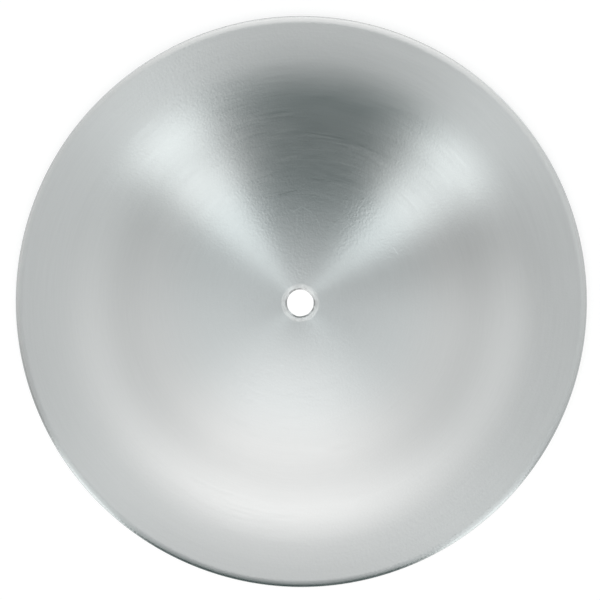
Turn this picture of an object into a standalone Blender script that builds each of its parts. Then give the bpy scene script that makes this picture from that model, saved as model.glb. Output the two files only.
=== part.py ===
"""A bell cymbal: one thick disc of spun aluminium, with a tall bell and a hole for a stand's rod.

The disc lies rim down with its bell up. Metres, +Z up, with the origin on the disc's axis at the
underside of the rim. A place on the profile is (distance from the axis, height), and a slope is
the angle at which the surface falls away outward.
"""

import math

import bmesh
import bpy
from mathutils import Vector

# The sheet
DISC_DIAMETER = 0.254
SHEET_THICKNESS = 0.0022

# The flat flange, and the lip where its edge turns up
FLANGE_WIDTH = 0.0039
LIP_WIDTH = 0.0031
LIP_ANGLE = math.radians(40)
LIP_CREST_ROUND = 0.00015
LIP_LOWER_BREAK = 0.0002

# The bell
SIDE_ANGLE = math.radians(30)
CROWN_RADIUS = 0.103
FOOT_RADIUS = 0.0465
BLEND_RADIUS = 0.143
BLEND_ANGLE = math.radians(4.5)

# The hole and the flat seat around it
HOLE_DIAMETER = 0.0115
HOLE_TOP_ROUND = 0.0008
HOLE_LOWER_BREAK = 0.0003
SEAT_WIDTH = 0.002

# How finely the curves are divided
TURN_STEPS = 96
CROWN_SEGMENTS = 7
FOOT_SEGMENTS = 5
BLEND_SEGMENTS = 2
LIP_SEGMENTS = 4
CREST_SEGMENTS = 2
LIP_LOWER_SEGMENTS = 3
HOLE_SEGMENTS = 2
SHARP_ANGLE = math.radians(35)

# The finish
ALUMINIUM_COLOUR = (0.60, 0.62, 0.62, 1.0)
ALUMINIUM_ROUGHNESS = 0.38

# Places that follow from the sizes
disc_radius = DISC_DIAMETER / 2
hole_radius = HOLE_DIAMETER / 2
seat_inner_radius = hole_radius + HOLE_TOP_ROUND
seat_outer_radius = seat_inner_radius + SEAT_WIDTH
flange_outer_radius = disc_radius - LIP_WIDTH
flange_inner_radius = flange_outer_radius - FLANGE_WIDTH


def normal(slope):
    """The unit normal of the sheet's top where it falls outward at this slope."""
    return Vector((math.sin(slope), math.cos(slope)))


def arc(centre, radius, first_slope, last_slope, segments):
    """Points along a round stretch. A negative radius bends it upward, like the foot of the bell."""
    step = (last_slope - first_slope) / segments
    return [centre + radius * normal(first_slope + step * i) for i in range(segments + 1)]


def rounded_over(inner, width, drop, segments):
    """A rounded edge: an arc that starts level at inner and ends width further out and drop lower."""
    last_slope = 2 * math.atan(drop / width)
    radius = width / math.sin(last_slope)
    return arc(inner - radius * normal(0), radius, 0, last_slope, segments)


def arc_centres():
    """The centres of the crown's, the foot's and the blend's arcs, which meet without a corner."""
    blend = Vector((flange_inner_radius, SHEET_THICKNESS + BLEND_RADIUS))
    foot = blend - (BLEND_RADIUS - FOOT_RADIUS) * normal(BLEND_ANGLE)
    side_bottom = foot - FOOT_RADIUS * normal(SIDE_ANGLE)
    side_top_radius = seat_outer_radius + CROWN_RADIUS * math.sin(SIDE_ANGLE)
    side_rise = (side_bottom.x - side_top_radius) * math.tan(SIDE_ANGLE)
    side_top = Vector((side_top_radius, side_bottom.y + side_rise))
    crown = side_top - CROWN_RADIUS * normal(SIDE_ANGLE)
    return crown, foot, blend


def bell_line(depth):
    """The bell's curve from the seat to the flange, at this depth below the sheet's top."""
    crown, foot, blend = arc_centres()
    return (
        arc(crown, CROWN_RADIUS - depth, 0, SIDE_ANGLE, CROWN_SEGMENTS)
        + arc(foot, -FOOT_RADIUS - depth, SIDE_ANGLE, BLEND_ANGLE, FOOT_SEGMENTS)
        + arc(blend, -BLEND_RADIUS - depth, BLEND_ANGLE, 0, BLEND_SEGMENTS)[1:]
    )


def lip():
    """The rim's turned-up edge: its hollow inner side, the rounded crest, the wall and the underside."""
    crest_reach = LIP_WIDTH - LIP_CREST_ROUND
    lip_radius = crest_reach / math.sin(LIP_ANGLE) - LIP_CREST_ROUND
    lower_radius = lip_radius + SHEET_THICKNESS
    lower_angle = math.asin((LIP_WIDTH - LIP_LOWER_BREAK) / lower_radius)

    centre = Vector((flange_outer_radius, SHEET_THICKNESS + lip_radius))
    crest = centre - (lip_radius + LIP_CREST_ROUND) * normal(-LIP_ANGLE)
    inner_side = arc(centre, -lip_radius, 0, -LIP_ANGLE, LIP_SEGMENTS)
    rounded_crest = arc(crest, LIP_CREST_ROUND, -LIP_ANGLE, math.radians(90), CREST_SEGMENTS)
    underside = arc(centre, -lower_radius, -lower_angle, 0, LIP_LOWER_SEGMENTS)
    wall_foot = Vector((disc_radius, underside[0].y + LIP_LOWER_BREAK))
    return inner_side + rounded_crest[1:] + [wall_foot] + underside


def hole_edge(seat_height):
    """The hole's broken lower corner, its wall and the rounded upper edge, up to the seat."""
    underside = seat_height - SHEET_THICKNESS
    inner = Vector((seat_inner_radius, seat_height))
    rounded = rounded_over(inner, -HOLE_TOP_ROUND, HOLE_TOP_ROUND, HOLE_SEGMENTS)
    return [
        Vector((hole_radius + HOLE_LOWER_BREAK, underside)),
        Vector((hole_radius, underside + HOLE_LOWER_BREAK)),
    ] + rounded[::-1]


def disc_outline():
    """The whole cross-section, from the seat out over the top and back along the underside."""
    top = bell_line(0)
    underside = bell_line(SHEET_THICKNESS)
    return top + lip() + underside[::-1] + hole_edge(top[0].y)


def turned(name, outline, collection):
    """An object made by turning a closed outline round the axis."""
    mesh = bpy.data.meshes.new(name)
    profile = bmesh.new()
    corners = [profile.verts.new((place.x, 0, place.y)) for place in outline]
    for start, end in zip(corners, corners[1:] + corners[:1]):
        profile.edges.new((start, end))
    profile.to_mesh(mesh)
    profile.free()
    piece = bpy.data.objects.new(name, mesh)
    collection.objects.link(piece)

    turn = piece.modifiers.new("turn", "SCREW")
    turn.steps = TURN_STEPS
    turn.render_steps = TURN_STEPS
    return piece


def shade_round(piece):
    """Keeps the turned mesh in place of its profile, smooth but for the corners of its edges."""
    evaluated = piece.evaluated_get(bpy.context.evaluated_depsgraph_get())
    solid = bpy.data.meshes.new_from_object(evaluated)
    piece.modifiers.clear()
    piece.data = solid
    solid.shade_smooth()
    solid.set_sharp_from_angle(angle=SHARP_ANGLE)


def aluminium():
    """Brushed aluminium."""
    material = bpy.data.materials.new("brushed_aluminium")
    material.use_nodes = True
    shader = material.node_tree.nodes["Principled BSDF"]
    shader.inputs["Base Color"].default_value = ALUMINIUM_COLOUR
    shader.inputs["Metallic"].default_value = 1.0
    shader.inputs["Roughness"].default_value = ALUMINIUM_ROUGHNESS
    return material


def clear_scene():
    for existing in list(bpy.data.objects):
        bpy.data.objects.remove(existing, do_unlink=True)


clear_scene()
cymbal = bpy.data.collections.new("bell_cymbal")
bpy.context.scene.collection.children.link(cymbal)
disc = turned("bell_disc", disc_outline(), cymbal)
shade_round(disc)
disc.data.materials.append(aluminium())
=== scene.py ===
# %% [markdown]
# A bell cymbal of brushed aluminium.
#
# The real thing is a single thick disc. A lathe spins a flat sheet while a roller presses it over a
# form, which gives the tall bell, the narrow flange and the turned-up edge in one piece. A brush held
# against the turning metal leaves thousands of fine circular grooves, and those grooves make the bright
# fans of light that run from the rim towards the hole.
#
# The plain model of the disc is loaded first. It stays where it is and says where everything belongs.

# %% Load the plain model
import math

import bmesh
import bpy
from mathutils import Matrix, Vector, noise


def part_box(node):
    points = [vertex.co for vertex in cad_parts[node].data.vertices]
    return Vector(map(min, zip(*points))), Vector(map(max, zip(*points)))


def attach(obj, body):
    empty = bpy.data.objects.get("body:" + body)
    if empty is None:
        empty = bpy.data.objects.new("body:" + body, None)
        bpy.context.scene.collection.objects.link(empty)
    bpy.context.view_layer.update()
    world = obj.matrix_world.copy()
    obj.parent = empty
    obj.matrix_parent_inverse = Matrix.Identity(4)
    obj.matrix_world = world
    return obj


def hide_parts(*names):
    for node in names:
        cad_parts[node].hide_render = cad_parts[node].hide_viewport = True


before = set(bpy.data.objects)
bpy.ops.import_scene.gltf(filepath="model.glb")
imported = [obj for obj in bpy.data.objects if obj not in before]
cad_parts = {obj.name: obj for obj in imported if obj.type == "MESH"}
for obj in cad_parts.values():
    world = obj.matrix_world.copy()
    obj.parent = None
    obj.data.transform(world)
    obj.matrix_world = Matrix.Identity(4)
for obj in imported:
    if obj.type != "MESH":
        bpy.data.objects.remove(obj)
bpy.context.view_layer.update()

disc_low, disc_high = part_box("bell_disc")
print(f"The plain disc is {(disc_high - disc_low).x:.4f} m across and {disc_high.z:.5f} m high")

# %% [markdown]
# The photograph looks straight down on the bell. Its hole sits a touch to the lower left of the disc's
# middle. The top of the bell is nearer to the lens than the rim, so that small shift says where the
# camera stood: a little to the upper right of the axis. A long lens from a metre and a half away
# shows the same shift. The camera is turned from straight down by the smallest turn that aims it, so
# that the picture's upright stays along Y.

# %% Place the camera
PHOTO_PIXELS = 600
PIXELS_PER_METRE = 2248.7
SENSOR_MM = 36.0
CAMERA_PLACE = Vector((0.015, 0.018, 1.5))
AIM_PLACE = Vector((-0.00048, 0.00086, 0.003))

camera = bpy.data.objects.new("camera", bpy.data.cameras.new("camera"))
bpy.context.scene.collection.objects.link(camera)
line_of_sight = AIM_PLACE - CAMERA_PLACE
camera.location = CAMERA_PLACE
camera.rotation_mode = "QUATERNION"
camera.rotation_quaternion = Vector((0, 0, -1)).rotation_difference(line_of_sight)
camera.data.sensor_width = SENSOR_MM
camera.data.lens = SENSOR_MM * line_of_sight.length * PIXELS_PER_METRE / PHOTO_PIXELS
bpy.context.scene.camera = camera
print(f"The lens is {camera.data.lens:.0f} mm long")

# %% [markdown]
# The disc's section has few sizes: the sheet's thickness, a handful of radii and the slopes where they
# meet. They are the plain model's own sizes, but the lower corners at the rim and at the hole are
# rounded here, where the plain model cuts them off straight. What follows from the sizes is worked
# out, such as the height of the rim's outer wall.

# %% Name the sizes
DISC_RADIUS = 0.127
SHEET_THICKNESS = 0.0022

FLANGE_WIDTH = 0.0039
LIP_WIDTH = 0.0031
LIP_ANGLE = math.radians(40)
LIP_CREST_ROUND = 0.00015
LIP_LOWER_ROUND = 0.0003

SIDE_ANGLE = math.radians(30)
CROWN_RADIUS = 0.103
FOOT_RADIUS = 0.0465
BLEND_RADIUS = 0.143
BLEND_ANGLE = math.radians(4.5)

HOLE_RADIUS = 0.00575
HOLE_TOP_ROUND = 0.0008
HOLE_LOWER_ROUND = 0.0003
SEAT_WIDTH = 0.002

FULL_TURN = math.radians(360)
RIGHT_ANGLE = math.radians(90)

seat_inner = HOLE_RADIUS + HOLE_TOP_ROUND
seat_outer = seat_inner + SEAT_WIDTH
flange_outer = DISC_RADIUS - LIP_WIDTH
flange_inner = flange_outer - FLANGE_WIDTH
print(f"The flat seat ends {seat_outer * 1000:.2f} mm from the axis")
print(f"The flange starts {flange_inner * 1000:.1f} mm from the axis")

# %% Work out the side's length
side_top = seat_outer + CROWN_RADIUS * math.sin(SIDE_ANGLE)
side_foot = (
    flange_inner
    - (BLEND_RADIUS - FOOT_RADIUS) * math.sin(BLEND_ANGLE)
    - FOOT_RADIUS * math.sin(SIDE_ANGLE)
)
side_length = (side_foot - side_top) / math.cos(SIDE_ANGLE)
print(f"The straight side is {side_length * 1000:.1f} mm long")

# %% Work out the lip's curves
lip_radius = (LIP_WIDTH - LIP_CREST_ROUND) / math.sin(LIP_ANGLE) - LIP_CREST_ROUND
lip_lower_radius = lip_radius + SHEET_THICKNESS
lip_lower_angle = math.asin((LIP_WIDTH - LIP_LOWER_ROUND) / (lip_lower_radius - LIP_LOWER_ROUND))
crest_height = SHEET_THICKNESS + lip_radius - (lip_radius + LIP_CREST_ROUND) * math.cos(LIP_ANGLE)
wall_foot_height = lip_lower_radius - (lip_lower_radius - LIP_LOWER_ROUND) * math.cos(lip_lower_angle)
lip_rise = crest_height + LIP_CREST_ROUND - SHEET_THICKNESS
print(f"The lip stands {lip_rise * 1000:.2f} mm above the flange")

# %% [markdown]
# A turned shape starts as its section. One way is a list of points. Here the section is drawn instead,
# like a fence walked once round: go forward, bend right, bend left. A bend is a small spin of the last
# point about the bend's centre, so round stretches are true arcs, and where one run ends the next one
# begins in the same direction, without a corner. The pen also notes how far it has gone at each point,
# which later tells the brushed finish which way the metal runs.

# %% Make a pen for sections
class Pen:
    """Draws a section in the XZ plane. It starts along +X, and a right bend turns it downward."""

    def __init__(self, start):
        self.drawing = bmesh.new()
        self.along = self.drawing.verts.layers.float.new("along")
        self.tip = self.drawing.verts.new(start)
        self.heading = 0.0
        self.travelled = 0.0

    def ahead(self):
        """The direction that the pen is heading in."""
        return Vector((math.cos(self.heading), 0, -math.sin(self.heading)))

    def move_to(self, tip, distance):
        """Takes a new tip, and notes how far along the section it is."""
        self.travelled += distance
        self.tip = tip
        self.tip[self.along] = self.travelled

    def forward(self, length, steps):
        """Draws a straight run."""
        for _ in range(steps):
            made = bmesh.ops.extrude_vert_indiv(self.drawing, verts=[self.tip])
            bmesh.ops.translate(self.drawing, verts=made["verts"], vec=self.ahead() * length / steps)
            self.move_to(made["verts"][0], length / steps)

    def bend(self, radius, turn, steps):
        """Draws an arc. A positive turn is to the right and a negative one to the left."""
        side = math.copysign(RIGHT_ANGLE, turn)
        inward = Vector((math.cos(self.heading + side), 0, -math.sin(self.heading + side)))
        centre = self.tip.co + inward * radius
        for _ in range(steps):
            made = bmesh.ops.spin(
                self.drawing, geom=[self.tip], cent=centre, axis=(0, 1, 0), angle=turn / steps, steps=1
            )
            tip = next(item for item in made["geom_last"] if isinstance(item, bmesh.types.BMVert))
            self.move_to(tip, radius * abs(turn) / steps)
        self.heading += turn


# %% Draw the top of the disc
pen = Pen((seat_outer, 0, disc_high.z))
pen.bend(CROWN_RADIUS, SIDE_ANGLE, steps=20)
pen.forward(side_length, steps=10)
pen.bend(FOOT_RADIUS, BLEND_ANGLE - SIDE_ANGLE, steps=16)
pen.bend(BLEND_RADIUS, -BLEND_ANGLE, steps=6)
pen.forward(FLANGE_WIDTH, steps=6)
print(f"The flange's top is at {pen.tip.co.z * 1000:.3f} mm")
print(f"It should be at the sheet's thickness, {SHEET_THICKNESS * 1000:.3f} mm")

# %% Draw the turned-up lip
pen.bend(lip_radius, -LIP_ANGLE, steps=14)
pen.bend(LIP_CREST_ROUND, LIP_ANGLE + RIGHT_ANGLE, steps=6)
pen.forward(crest_height - wall_foot_height, steps=3)
pen.bend(LIP_LOWER_ROUND, RIGHT_ANGLE - lip_lower_angle, steps=4)
pen.bend(lip_lower_radius, lip_lower_angle, steps=8)
print(f"The rim's underside is at {pen.tip.co.z * 1000:.3f} mm")

# %% Draw the underside and the hole
pen.forward(FLANGE_WIDTH, steps=6)
pen.bend(BLEND_RADIUS + SHEET_THICKNESS, BLEND_ANGLE, steps=4)
pen.bend(FOOT_RADIUS + SHEET_THICKNESS, SIDE_ANGLE - BLEND_ANGLE, steps=12)
pen.forward(side_length, steps=8)
pen.bend(CROWN_RADIUS - SHEET_THICKNESS, -SIDE_ANGLE, steps=16)
pen.forward(seat_outer - HOLE_RADIUS - HOLE_LOWER_ROUND, steps=3)
pen.bend(HOLE_LOWER_ROUND, RIGHT_ANGLE, steps=4)
pen.forward(SHEET_THICKNESS - HOLE_LOWER_ROUND - HOLE_TOP_ROUND, steps=2)
pen.bend(HOLE_TOP_ROUND, RIGHT_ANGLE, steps=8)
pen.forward(SEAT_WIDTH, steps=4)
section_length = pen.travelled
closing_gap = (pen.tip.co - Vector((seat_outer, 0, disc_high.z))).length
print(f"The section is {section_length * 1000:.1f} mm long")
print(f"Its two ends meet to within {closing_gap * 1e6:.2f} micrometres")

# %% [markdown]
# The pen ends where it began. The two ends are merged, so that the section is one closed loop, and a
# full spin about Z turns it into the disc. The spin merges its last step with its first, or the disc
# would have a slit. Afterwards the faces are made to point outwards.

# %% Spin the section into a disc
TURN_STEPS = 384
MERGE_DISTANCE = 0.00002

section = pen.drawing
bmesh.ops.remove_doubles(section, verts=section.verts[:], dist=MERGE_DISTANCE)
bmesh.ops.spin(
    section,
    geom=section.verts[:] + section.edges[:],
    cent=(0, 0, 0),
    axis=(0, 0, 1),
    angle=FULL_TURN,
    steps=TURN_STEPS,
    use_merge=True,
)
bmesh.ops.recalc_face_normals(section, faces=section.faces[:])
open_edges = sum(not edge.is_manifold for edge in section.edges)
print(f"The disc has {len(section.faces)} faces and {open_edges} open edges")
print(f"It holds {section.calc_volume() * 1e6:.1f} ml of metal")

# %% [markdown]
# The hole's edge isn't a perfect circle. Punching and the stand's sleeve have worn it, so it is a
# little lumpy. The points nearest the hole are moved in and out by a smooth noise, most at the edge
# and not at all on the seat.

# %% Wear the edge of the hole
EDGE_WEAR = 0.00012
EDGE_LUMPS = 2.3

worn = 0
for vertex in section.verts:
    outward = Vector((vertex.co.x, vertex.co.y, 0))
    if outward.length < seat_inner:
        nearness = (seat_inner - outward.length) / HOLE_TOP_ROUND
        lump = noise.noise(outward.normalized() * EDGE_LUMPS)
        vertex.co += outward.normalized() * lump * nearness * EDGE_WEAR
        worn += 1
print(f"{worn} points at the edge of the hole are worn")

# %% [markdown]
# The brush's grooves run round the disc, and light spreads across them and not along them. The shader
# needs to know which way is across at every point, and the usual way to say so is a UV map. This one
# unrolls the disc: U runs along the section, from the seat over the rim and back underneath, and V
# runs once round. The last strip of faces in each direction would wrap back to zero, so its far side
# is raised by one.

# %% Unroll the disc
UV_NAME = "OFBake"
HALF_ROUND = 0.5


def unwrapped(values):
    """A face's values with those past the seam raised by one."""
    if max(values) - min(values) < HALF_ROUND:
        return values
    return [value + 1 if value < HALF_ROUND else value for value in values]


def unroll(mesh, along, whole_length):
    """Gives every face its U along the section and its V round the axis."""
    uv = mesh.loops.layers.uv.new(UV_NAME)
    for face in mesh.faces:
        corners = [corner.vert for corner in face.loops]
        us = unwrapped([corner[along] / whole_length for corner in corners])
        vs = unwrapped([math.atan2(corner.co.y, corner.co.x) / FULL_TURN % 1 for corner in corners])
        for loop, u, v in zip(face.loops, us, vs):
            loop[uv].uv = (u, v)


unroll(section, pen.along, section_length)
print(f"{len(section.faces)} faces are unrolled")

# %% Make the disc's object
disc_mesh = bpy.data.meshes.new("spun_disc")
section.to_mesh(disc_mesh)
section.free()
disc_mesh.attributes.remove(disc_mesh.attributes["along"])
disc_mesh.shade_smooth()
disc = bpy.data.objects.new("spun_disc", disc_mesh)
bpy.context.scene.collection.objects.link(disc)
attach(disc, "root")
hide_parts("bell_disc")
print(f"The disc has {sum(len(face.vertices) - 2 for face in disc_mesh.polygons)} triangles")

# %% [markdown]
# Materials and the studio are both built from nodes. Each node could be made and joined line by line,
# but small helpers keep a sum to one line, so they come first. One adds a node and joins its inputs.
# The others add what comes up again and again: sums on numbers and on vectors, how squarely a
# direction faces a bearing, a smooth fade, and one colour painted over another. A bearing is counted
# from the picture's right, so that 90 degrees is its top.

# %% Make helpers for nodes
def add_node(tree, kind, inputs=(), **settings):
    """A new node. Each input is given as its name or number with a value or another node's output."""
    made = tree.nodes.new(kind)
    for name, value in settings.items():
        setattr(made, name, value)
    for slot, value in dict(inputs).items():
        if isinstance(value, bpy.types.NodeSocket):
            tree.links.new(value, made.inputs[slot])
        else:
            made.inputs[slot].default_value = value
    return made


def calculate(tree, operation, *values):
    """The result of a sum on numbers."""
    return add_node(tree, "ShaderNodeMath", enumerate(values), operation=operation).outputs[0]


def with_vector(tree, operation, *values):
    """The result of a sum on vectors."""
    made = add_node(tree, "ShaderNodeVectorMath", enumerate(values), operation=operation)
    gives_number = operation in ("LENGTH", "DISTANCE", "DOT_PRODUCT")
    return made.outputs["Value" if gives_number else "Vector"]


def scaled(tree, vector, amount):
    """A vector made longer, or a colour made brighter, by an amount."""
    inputs = {0: vector, "Scale": amount}
    return add_node(tree, "ShaderNodeVectorMath", inputs, operation="SCALE").outputs["Vector"]


def flattened(tree, vector):
    """A vector without its height."""
    return with_vector(tree, "MULTIPLY", vector, (1, 1, 0))


def facing(tree, direction, bearing):
    """How squarely a level direction points to a bearing: 1 straight at it and -1 straight away."""
    towards = (math.cos(bearing), math.sin(bearing), 0)
    return with_vector(tree, "DOT_PRODUCT", direction, towards)


def fade(tree, value, start, end, low=0.0, high=1.0):
    """Goes smoothly from low, where the value is start, to high, where it is end."""
    inputs = {"Value": value, "From Min": start, "From Max": end, "To Min": low, "To Max": high}
    made = add_node(tree, "ShaderNodeMapRange", inputs, interpolation_type="SMOOTHSTEP")
    return made.outputs["Result"]


def paint_over(tree, cover, under, over):
    """Shows the colour over where the cover is one and the colour under where it is nothing."""
    mixed = add_node(tree, "ShaderNodeMix", data_type="RGBA")
    for slot, value in (("Factor_Float", cover), ("A_Color", under), ("B_Color", over)):
        socket = next(item for item in mixed.inputs if item.identifier == slot)
        if isinstance(value, bpy.types.NodeSocket):
            tree.links.new(value, socket)
        else:
            socket.default_value = (*value, 1.0)
    return next(item for item in mixed.outputs if item.identifier == "Result_Color")


# %% [markdown]
# Brushed metal looks the way it does for one reason: each groove is far too fine to see, but all of
# them run the same way. Across the grooves the surface tilts to and fro, so reflections are smeared
# wide. Along them it is nearly smooth, so reflections stay narrow. The Principled shader has this as
# Anisotropic, which stretches the roughness along the tangent. The tangent is taken from U, which
# points across the grooves.

# %% Start the brushed aluminium
GROOVE_STRETCH = 0.815

aluminium = bpy.data.materials.new("brushed_aluminium")
aluminium.use_nodes = True
metal_tree = aluminium.node_tree
metal = metal_tree.nodes["Principled BSDF"]
metal.inputs["Metallic"].default_value = 1.0
metal.inputs["Anisotropic"].default_value = GROOVE_STRETCH
across_grooves = add_node(metal_tree, "ShaderNodeTangent", direction_type="UV_MAP", uv_map=UV_NAME)
metal_tree.links.new(across_grooves.outputs["Tangent"], metal.inputs["Tangent"])
disc_mesh.materials.append(aluminium)
print(f"{disc.name} wears {disc_mesh.materials[0].name}, stretched by {GROOVE_STRETCH}")

# %% [markdown]
# All marks of the lathe are stretched round the axis. They are patterned in the lathe's own
# coordinates: which way the point lies from the axis, as a direction of length one, and how far it is
# along the section. The direction never jumps, unlike an angle, so the pattern has no seam. Distance
# from the axis minus height grows all the way down the outside, so it stands in for the distance along.

# %% Measure in the lathe's coordinates
NOISE_ROUGHNESS = 0.6

place = add_node(metal_tree, "ShaderNodeTexCoord").outputs["Object"]
height = add_node(metal_tree, "ShaderNodeSeparateXYZ", {"Vector": place}).outputs["Z"]
from_axis = flattened(metal_tree, place)
radius = with_vector(metal_tree, "LENGTH", from_axis)
away = with_vector(metal_tree, "NORMALIZE", from_axis)
away_parts = add_node(metal_tree, "ShaderNodeSeparateXYZ", {"Vector": away}).outputs
down_outside = calculate(metal_tree, "SUBTRACT", radius, height)
lathe_parts = {"X": away_parts["X"], "Y": away_parts["Y"], "Z": down_outside}
lathe_place = add_node(metal_tree, "ShaderNodeCombineXYZ", lathe_parts).outputs["Vector"]


def lathe_noise(width, reach, detail):
    """Streaks of a width in metres, which reach so many radians round the axis."""
    stretched = with_vector(metal_tree, "MULTIPLY", lathe_place, (1 / reach, 1 / reach, 1 / width))
    inputs = {"Vector": stretched, "Scale": 1.0, "Detail": detail, "Roughness": NOISE_ROUGHNESS}
    return add_node(metal_tree, "ShaderNodeTexNoise", inputs).outputs["Fac"]


def band(centre, reach):
    """One at this distance from the axis, fading to nothing further in and out."""
    distance = calculate(metal_tree, "SUBTRACT", radius, centre)
    distance = calculate(metal_tree, "ABSOLUTE", distance)
    return fade(metal_tree, distance, reach, 0.0)


coordinate_at_seat = seat_outer - disc_high.z
coordinate_at_rim = DISC_RADIUS - wall_foot_height
print(f"Distance minus height is {coordinate_at_seat:.4f} m at the seat")
print(f"It is {coordinate_at_rim:.4f} m at the rim")

# %% [markdown]
# Two scales of streak are enough. The fine ones are the brush's separate strokes, which come in
# groups, and the wider ones are its passes. A streak could be a change of colour, but a brush takes no
# colour away. It leaves the metal a little rougher or smoother, so that more or less light leaks into
# the dark part. So the streaks change the roughness here, and the colour gets only a trace of them.
# The values of a noise crowd round a half, so each pattern is stretched: it fades from nothing, or
# from its faintest, to one between two of them.

# %% Pattern the strokes and passes
STROKE = {"width": 0.0008, "reach": 0.20, "detail": 2.0}
STROKE_GROUP = {"width": 0.0060, "reach": 0.50, "detail": 1.0}
BRUSH_PASS = {"width": 0.0035, "reach": 0.80, "detail": 1.0}
STREAK_FROM = 0.30
STREAK_TO = 0.70
GROUP_FROM = 0.35
GROUP_TO = 0.65
FAINTEST_GROUP = 0.35

strokes = fade(metal_tree, lathe_noise(**STROKE), STREAK_FROM, STREAK_TO)
stroke_groups = fade(metal_tree, lathe_noise(**STROKE_GROUP), GROUP_FROM, GROUP_TO, FAINTEST_GROUP)
passes = fade(metal_tree, lathe_noise(**BRUSH_PASS), STREAK_FROM, STREAK_TO)
print(f"A stroke is {STROKE['width'] * 1000} mm wide and a pass {BRUSH_PASS['width'] * 1000} mm")

# %% Roughen the metal with them
BRUSHED_ROUGHNESS = 0.39
STROKE_ROUGHNESS = 0.072
PASS_ROUGHNESS = 0.008
AVERAGE_STROKE = 0.5

stroke_change = calculate(metal_tree, "SUBTRACT", strokes, AVERAGE_STROKE)
stroke_change = calculate(metal_tree, "MULTIPLY", stroke_change, stroke_groups)
stroke_change = calculate(metal_tree, "MULTIPLY", stroke_change, STROKE_ROUGHNESS)
pass_change = calculate(metal_tree, "MULTIPLY_ADD", passes, PASS_ROUGHNESS, -PASS_ROUGHNESS / 2)
streak_change = calculate(metal_tree, "ADD", stroke_change, pass_change)
brushed = calculate(metal_tree, "ADD", streak_change, BRUSHED_ROUGHNESS)
most_change = (STROKE_ROUGHNESS + PASS_ROUGHNESS) / 2
print(f"The roughness is {BRUSHED_ROUGHNESS}, give or take {most_change:.3f}")

# %% [markdown]
# The roller that turned up the lip burnished it towards its crest. The metal is smoother there than
# elsewhere and its reflections are sharper, so its roughness is a share of the rest's.

# %% Smooth the lip
LIP_ROUGHNESS_SHARE = 0.60
LIP_SMOOTH_FROM = DISC_RADIUS - 0.0014
LIP_SMOOTH_TO = DISC_RADIUS - 0.0005

lip_share = fade(metal_tree, radius, LIP_SMOOTH_FROM, LIP_SMOOTH_TO, 1.0, LIP_ROUGHNESS_SHARE)
roughness = calculate(metal_tree, "MULTIPLY", brushed, lip_share)
metal_tree.links.new(roughness, metal.inputs["Roughness"])
print(f"The lip's roughness is about {BRUSHED_ROUGHNESS * LIP_ROUGHNESS_SHARE:.2f}")

# %% [markdown]
# Round the hole the metal is paler. Felts and sleeves have rubbed a ring bright there, unevenly, with
# flecks where the rubbing skipped. Inside it a thin dark line of painted shade sits where the hole's
# edge turns down, standing in for the shade on the edge's rounding, heavier at a few bearings than
# between them. Both are painted in the metal's colour, the ring because it is far thinner than the
# sheet.

# %% Rub the ring round the hole
RING_EDGE = 0.0086
RING_FADE = 0.0008
RING_PATCH = {"width": 0.0010, "reach": 0.40, "detail": 3.0}
RING_PATCH_FROM = 0.32
RING_PATCH_TO = 0.70
FAINTEST_PATCH = 0.15

ring_reach = fade(metal_tree, radius, RING_EDGE, RING_EDGE - RING_FADE)
ring_patches = lathe_noise(**RING_PATCH)
ring_rubbed = fade(metal_tree, ring_patches, RING_PATCH_FROM, RING_PATCH_TO, FAINTEST_PATCH)
ring = calculate(metal_tree, "MULTIPLY", ring_reach, ring_rubbed)
print(f"The rubbed ring is {(RING_EDGE - HOLE_RADIUS) * 1000:.2f} mm wide")

# %% Paint shade on the line at the hole's edge
# The line, its flecks and its heavier bearings are painted shade on the rounding of the hole's edge.
PAINTED_SHADE_LINE = {"centre": 0.00620, "reach": 0.0006}
THINNEST_PAINTED_SHADE = 0.20
PAINTED_SHADE_FLECK = {"width": 0.0010, "reach": 0.15, "detail": 2.0}
FLECK_FROM = 0.35
FLECK_TO = 0.55
FAINTEST_FLECK = 0.5
SHADE_BEARINGS = (
    {"bearing": 2, "reach": 22, "share": 0.7},
    {"bearing": 100, "reach": 30, "share": 1.0},
    {"bearing": 128, "reach": 18, "share": 0.8},
    {"bearing": 182, "reach": 24, "share": 0.75},
    {"bearing": 250, "reach": 15, "share": 0.2},
    {"bearing": 301, "reach": 28, "share": 0.65},
    {"bearing": 331, "reach": 15, "share": 1.0},
)

shade_cover = THINNEST_PAINTED_SHADE
for shade_spot in SHADE_BEARINGS:
    squarely = facing(metal_tree, away, math.radians(shade_spot["bearing"]))
    shade_spot_end = math.cos(math.radians(shade_spot["reach"]))
    spot = fade(metal_tree, squarely, shade_spot_end, 1.0, 0.0, shade_spot["share"])
    shade_cover = calculate(metal_tree, "MAXIMUM", shade_cover, spot)
shade_flecks = lathe_noise(**PAINTED_SHADE_FLECK)
shade_flecks = fade(metal_tree, shade_flecks, FLECK_FROM, FLECK_TO, FAINTEST_FLECK)
shade_cover = calculate(metal_tree, "MULTIPLY", shade_cover, shade_flecks)
# The painted shade is the line's band times its heavier bearings and flecks.
painted_edge_shade = calculate(metal_tree, "MULTIPLY", band(**PAINTED_SHADE_LINE), shade_cover)
# The smudges that it counts are the bearings where the painted shade is heavier.
print(f"The line of grime has {len(SHADE_BEARINGS)} smudges")

# %% [markdown]
# A used cymbal has a few scratches of its own. Each is a fine line between two places on the top, drawn
# as the distance to the nearest point of that line. U is below a half on the top side, which keeps them
# off the underside.

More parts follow.
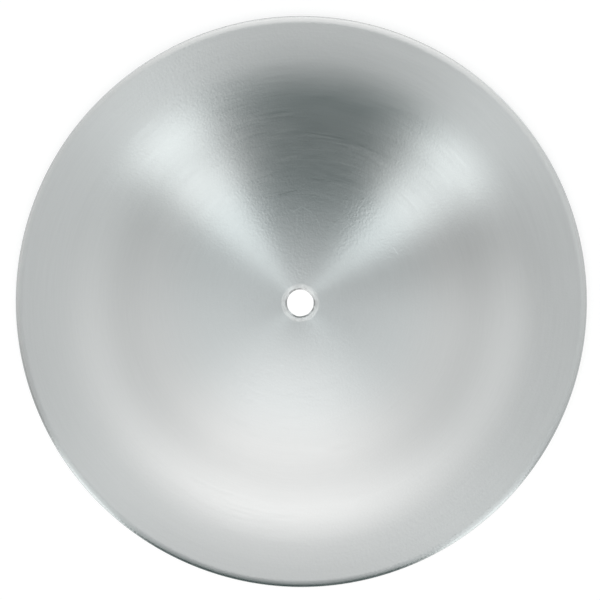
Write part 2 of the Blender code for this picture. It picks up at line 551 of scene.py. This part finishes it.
# %% Scratch the top
SCRATCHES = (
    {"start": (-0.0029, 0.0397, 0), "end": (0.0004, 0.0418, 0), "gain": 0.14},
    {"start": (0.0008, 0.0418, 0), "end": (0.0050, 0.0393, 0), "gain": 0.16},
    {"start": (0.0063, 0.0380, 0), "end": (0.0094, 0.0318, 0), "gain": 0.10},
    {"start": (-0.0013, 0.0388, 0), "end": (-0.0015, 0.0318, 0), "gain": 0.10},
    {"start": (0.0018, 0.0384, 0), "end": (0.0020, 0.0318, 0), "gain": 0.08},
    {"start": (0.0000, 0.0350, 0), "end": (0.0044, 0.0351, 0), "gain": 0.07},
    {"start": (-0.0150, 0.0458, 0), "end": (-0.0015, 0.0491, 0), "gain": -0.14},
    {"start": (0.0406, 0.0240, 0), "end": (0.0425, 0.0211, 0), "gain": 0.20},
    {"start": (-0.0086, -0.0273, 0), "end": (-0.0073, -0.0273, 0), "gain": 0.07},
)
SCRATCH_WIDTH = 0.00035
TOP_ENDS_AT = 0.5


def scratch(start, end):
    """One along a straight line and nothing beyond its width."""
    run = Vector(end) - Vector(start)
    from_start = with_vector(metal_tree, "SUBTRACT", from_axis, start)
    along_run = with_vector(metal_tree, "DOT_PRODUCT", from_start, run)
    share = calculate(metal_tree, "DIVIDE", along_run, run.length_squared)
    share = add_node(metal_tree, "ShaderNodeClamp", {"Value": share}).outputs["Result"]
    nearest = scaled(metal_tree, run, share)
    distance = with_vector(metal_tree, "DISTANCE", from_start, nearest)
    return fade(metal_tree, distance, SCRATCH_WIDTH, 0.0)


unrolled = add_node(metal_tree, "ShaderNodeUVMap", uv_map=UV_NAME).outputs["UV"]
along_section = add_node(metal_tree, "ShaderNodeSeparateXYZ", {"Vector": unrolled}).outputs["X"]
on_top = calculate(metal_tree, "LESS_THAN", along_section, TOP_ENDS_AT)
scratched = 0
for line in SCRATCHES:
    mark = scratch(line["start"], line["end"])
    scratched = calculate(metal_tree, "MULTIPLY_ADD", mark, line["gain"], scratched)
print(f"The top has {len(SCRATCHES)} scratches and nicks")

# %% [markdown]
# Bare aluminium is a nearly neutral grey. The marks could each mix in a colour of their own, but they
# only make the metal paler or darker, so one shade multiplies its colour. The shade starts at one, and
# each mark adds to it or takes from it; the dark line at the hole is painted shade. The foot of the
# bell is a little brighter, a painted highlight on its hollow curve, and the side above it a little
# duller.
# The crown is a touch cooler in colour than the rest, apart from the rubbed ring.

# %% Shade the marks
STROKE_SHADE = 0.03
RING_GAIN = 0.33
# How dark the painted shade on the hole's edge makes the metal.
PAINTED_EDGE_SHADE = -0.85
# The foot band is a painted highlight on the bell's hollow curve.
FOOT_HIGHLIGHT_BAND = {"centre": 0.093, "reach": 0.013}
FOOT_HIGHLIGHT_GAIN = 0.06
SIDE_BAND = {"centre": 0.076, "reach": 0.011}
SIDE_SHADE = -0.03

shade = calculate(metal_tree, "MULTIPLY_ADD", strokes, STROKE_SHADE, 1.0 - STROKE_SHADE / 2)
for cover, gain in (
    (ring, RING_GAIN),
    # painted shade at the hole's edge
    (painted_edge_shade, PAINTED_EDGE_SHADE),
    # painted highlight at the foot
    (band(**FOOT_HIGHLIGHT_BAND), FOOT_HIGHLIGHT_GAIN),
    (band(**SIDE_BAND), SIDE_SHADE),
    (scratched, on_top),
):
    shade = calculate(metal_tree, "MULTIPLY_ADD", cover, gain, shade)
print(f"The rubbed ring is up to {RING_GAIN:.0%} brighter than the metal round it")

# %% Mix the colour
ALUMINIUM_COLOUR = (0.602, 0.617, 0.614)
CROWN_COLOUR = (0.588, 0.617, 0.618)
CROWN_TINT_START = 0.040
CROWN_TINT_END = 0.070

on_crown = fade(metal_tree, radius, CROWN_TINT_END, CROWN_TINT_START)
on_crown = calculate(metal_tree, "SUBTRACT", on_crown, ring_reach)
tinted = paint_over(metal_tree, on_crown, ALUMINIUM_COLOUR, CROWN_COLOUR)
metal_tree.links.new(scaled(metal_tree, tinted, shade), metal.inputs["Base Color"])
print(f"The metal's colour is {ALUMINIUM_COLOUR}, and {CROWN_COLOUR} on the crown")

# %% [markdown]
# The grit is the metal's own fine unevenness, which gives the edges of the bright fans their grain. It
# is the same in all directions, so its noise reads the plain place. It is coarser where the bell turns
# over towards the hole, where the roller began, and coarsest on one side there. Neither it nor the
# grooves are deep enough to shape in the mesh, so a Bump node tilts the light on them instead.

# %% Make the grit
GRIT_SIZE = 0.0010
GRIT_DETAIL = 1.0
SIDE_GRIT_SHARE = 0.80
CROWN_GRIT_SHARE = 1.0
COARSEST_GRIT_SHARE = 1.38
COARSE_START = 0.046
COARSE_END = 0.060
COARSEST_BEARING = math.radians(64)
COARSEST_FROM = 0.70
COARSEST_TO = 0.92

grit_inputs = {"Vector": place, "Scale": 1 / GRIT_SIZE, "Detail": GRIT_DETAIL}
grit = add_node(metal_tree, "ShaderNodeTexNoise", grit_inputs).outputs["Fac"]
squarely = facing(metal_tree, away, COARSEST_BEARING)
crown_share = fade(
    metal_tree, squarely, COARSEST_FROM, COARSEST_TO, CROWN_GRIT_SHARE, COARSEST_GRIT_SHARE
)
grit_share = fade(metal_tree, radius, COARSE_END, COARSE_START, SIDE_GRIT_SHARE, crown_share)
grit = calculate(metal_tree, "MULTIPLY", grit, grit_share)
print(f"The grit is {GRIT_SIZE * 1000} mm across")

# %% Raise the grooves and the grit
GROOVE_DEPTH = 0.0000015
GRIT_DEPTH = 0.000036


def raised(depth, pattern, **under):
    """The direction the surface faces with a pattern of this depth raised on it."""
    inputs = {"Strength": 1.0, "Distance": depth, "Height": pattern, **under}
    return add_node(metal_tree, "ShaderNodeBump", inputs).outputs["Normal"]


grooved = raised(GROOVE_DEPTH, strokes)
gritty = raised(GRIT_DEPTH, grit, Normal=grooved)
metal_tree.links.new(gritty, metal.inputs["Normal"])
print(f"The grit is up to {GRIT_DEPTH * COARSEST_GRIT_SHARE * 1e6:.0f} micrometres deep")

# %% [markdown]
# The disc lies on a white table. The table has a little real white, which takes the soft shadow under
# the rim. For the rest it glows, but only for the camera and for reflections, so that it looks white
# without lighting anything else. Hardly any light reaches it under the bell, and the hole would show
# the glow alone, a pale grey, so the part below the bell is plain white for the camera.

# %% Lay the white table
TABLE_SIZE = 12.0

table_mesh = bmesh.new()
bmesh.ops.create_grid(table_mesh, x_segments=1, y_segments=1, size=TABLE_SIZE / 2)
table_data = bpy.data.meshes.new("table")
table_mesh.to_mesh(table_data)
table_mesh.free()
table = bpy.data.objects.new("table", table_data)
bpy.context.scene.collection.objects.link(table)
print(f"The table is {TABLE_SIZE:.0f} m square")

# %% Make the table glow
TABLE_GLOW = 0.74

paint = bpy.data.materials.new("table_white")
paint.use_nodes = True
table_tree = paint.node_tree
table_tree.nodes.clear()
seen_by = add_node(table_tree, "ShaderNodeLightPath").outputs
seen = calculate(table_tree, "MAXIMUM", seen_by["Is Camera Ray"], seen_by["Is Glossy Ray"])
seen = calculate(table_tree, "MAXIMUM", seen, seen_by["Is Transmission Ray"])
glow = calculate(table_tree, "MULTIPLY", seen, TABLE_GLOW)
print(f"The table glows at {TABLE_GLOW}, only where it is seen")

# %% Whiten the table below the bell
table_place = add_node(table_tree, "ShaderNodeTexCoord").outputs["Object"]
from_middle = with_vector(table_tree, "LENGTH", table_place)
below_bell = fade(table_tree, from_middle, side_top, seat_outer)
hole_white = calculate(table_tree, "MULTIPLY", below_bell, seen_by["Is Camera Ray"])
glow = calculate(table_tree, "MAXIMUM", glow, hole_white)
print(f"The white below the bell fades out {side_top * 1000:.0f} mm from the axis")

# %% Paint the table
TABLE_COLOUR = (0.30, 0.30, 0.30, 1.0)

white = add_node(table_tree, "ShaderNodeBsdfDiffuse", {"Color": TABLE_COLOUR})
light = add_node(table_tree, "ShaderNodeEmission", {"Strength": glow})
both = add_node(table_tree, "ShaderNodeAddShader", {0: white.outputs[0], 1: light.outputs[0]})
add_node(table_tree, "ShaderNodeOutputMaterial", {"Surface": both.outputs[0]})
table_data.materials.append(paint)
print(f"The table itself sends back {TABLE_COLOUR[0]:.0%} of the light")

# %% [markdown]
# Bare metal is a picture of the room around it, so the studio matters as much as the finish. It could
# be lamps and cards on stands. Here it is painted as a dome of light in the world's shader, where an
# edge can be made as soft as wanted: plain pale walls, and on them the patches that the
# photographer's lamps and screens make. A patch has a bearing, a half width, a soft edge, a level of
# light and a tint, and it is painted over those before it, as on a real wall.
#
# Two narrow softboxes stand at the upper right and left. Beside each, on its outer side, is a dimmer
# frame. Between them is a dark gap, and one broad, slightly warm light fills from the picture's
# bottom. The gap is the only patch that changes with height. It fades in from overhead, and below the
# start of its taper it grows narrower towards the floor.

# %% Describe the patches
NEUTRAL = (1.0, 1.0, 1.0)
WARM = (1.02, 1.0, 0.997)
COOL = (0.96, 1.0, 1.003)
BLUE_GREEN = (0.0, 1.0, 0.98)
PATCHES = (
    {
        "name": "fill light", "bearing": 264, "half_width": 36, "softness": 26.5,
        "level": 1.54, "tint": WARM,
    },
    {
        "name": "right frame", "bearing": 22, "half_width": 4, "softness": 30,
        "level": 0.11, "tint": COOL,
    },
    {
        "name": "left frame", "bearing": 146, "half_width": 17.5, "softness": 40,
        "level": 0.56, "tint": COOL,
    },
    {
        "name": "right softbox", "bearing": 43.5, "half_width": 11.5, "softness": 5,
        "level": 1.755, "tint": COOL,
    },
    {
        "name": "left softbox", "bearing": 130.4, "half_width": 11, "softness": 2,
        "level": 1.735, "tint": COOL,
    },
    {
        "name": "dark gap", "bearing": 84.4, "half_width": 33.6, "softness": 4,
        "level": 0.038, "tint": BLUE_GREEN, "taper": 0.6, "fade_in": 49,
    },
)
for patch in PATCHES:
    print(f"The {patch['name']} is at {patch['bearing']} degrees, level {patch['level']}")

# %% Find each ray's direction
world = bpy.data.worlds.new("studio")
world.use_nodes = True
bpy.context.scene.world = world
dome_tree = world.node_tree
dome_tree.nodes.clear()
ray = add_node(dome_tree, "ShaderNodeTexCoord").outputs["Generated"]
ray_height = add_node(dome_tree, "ShaderNodeSeparateXYZ", {"Vector": ray}).outputs["Z"]
from_overhead = calculate(dome_tree, "ARCCOSINE", ray_height)
level_ray = with_vector(dome_tree, "NORMALIZE", flattened(dome_tree, ray))
print(f"The scene is lit by the world called {world.name}")

# %% Paint the patches on the walls
WALL_COLOUR = (1.0, 1.0, 1.0)
TAPER_START = math.radians(60)

below_taper = calculate(dome_tree, "SUBTRACT", from_overhead, TAPER_START)
below_taper = calculate(dome_tree, "MAXIMUM", below_taper, 0)
wall = WALL_COLOUR
for patch in PATCHES:
    squarely = facing(dome_tree, level_ray, math.radians(patch["bearing"]))
    off_centre = calculate(dome_tree, "ARCCOSINE", squarely)
    if "taper" in patch:
        off_centre = calculate(dome_tree, "MULTIPLY_ADD", below_taper, patch["taper"], off_centre)
    inner = math.radians(patch["half_width"] - patch["softness"])
    outer = math.radians(patch["half_width"] + patch["softness"])
    cover = fade(dome_tree, off_centre, outer, inner)
    if "fade_in" in patch:
        below_overhead = fade(dome_tree, from_overhead, 0.0, math.radians(patch["fade_in"]))
        cover = calculate(dome_tree, "MULTIPLY", cover, below_overhead)
    colour = [patch["level"] * channel for channel in patch["tint"]]
    wall = paint_over(dome_tree, cover, wall, colour)
print(f"The walls have {len(PATCHES)} patches of light and shade")

# %% [markdown]
# The walls would all meet in one point overhead, where the flat flange and the seat look for their
# light. A ceiling covers that point. It could be one even level, but it is brighter to the left, and
# so the flange is a little brighter on that side, as in the photograph.

# %% Close the studio overhead
CEILING_TINT = (0.965, 1.0, 1.012)
CEILING_LEVEL = 0.657
CEILING_LEAN = 0.562
CEILING_LEAN_BEARING = math.radians(198)
CEILING_END = math.radians(9)
WALL_START = math.radians(20.7)

leaning = facing(dome_tree, level_ray, CEILING_LEAN_BEARING)
ceiling_level = calculate(dome_tree, "MULTIPLY_ADD", leaning, CEILING_LEAN, CEILING_LEVEL)
ceiling = scaled(dome_tree, CEILING_TINT, ceiling_level)
on_wall = fade(dome_tree, from_overhead, CEILING_END, WALL_START)
studio = paint_over(dome_tree, on_wall, ceiling, wall)
dimmest = CEILING_LEVEL - CEILING_LEAN
brightest = CEILING_LEVEL + CEILING_LEAN
print(f"The ceiling's level runs from {dimmest:.2f} to {brightest:.2f}")

# %% [markdown]
# The studio lights the metal and the table, but the camera doesn't see it. A wall of plain white
# could stand behind the disc. Here the dome itself is white to the camera's own rays, so that nothing
# stands between the metal and its light.

# %% Show white behind the disc
sight = add_node(dome_tree, "ShaderNodeLightPath").outputs
white_seen = calculate(dome_tree, "MAXIMUM", sight["Is Camera Ray"], sight["Is Transmission Ray"])
dome_colour = paint_over(dome_tree, white_seen, studio, NEUTRAL)
background = add_node(dome_tree, "ShaderNodeBackground", {"Color": dome_colour, "Strength": 1.0})
add_node(dome_tree, "ShaderNodeOutputWorld", {"Surface": background.outputs[0]})
print(f"The studio's shader has {len(dome_tree.nodes)} nodes")

# %% [markdown]
# The picture is shown as it is, without a film look, so that a colour renders as it is written.

# %% Finish
bpy.context.scene.view_settings.view_transform = "Standard"
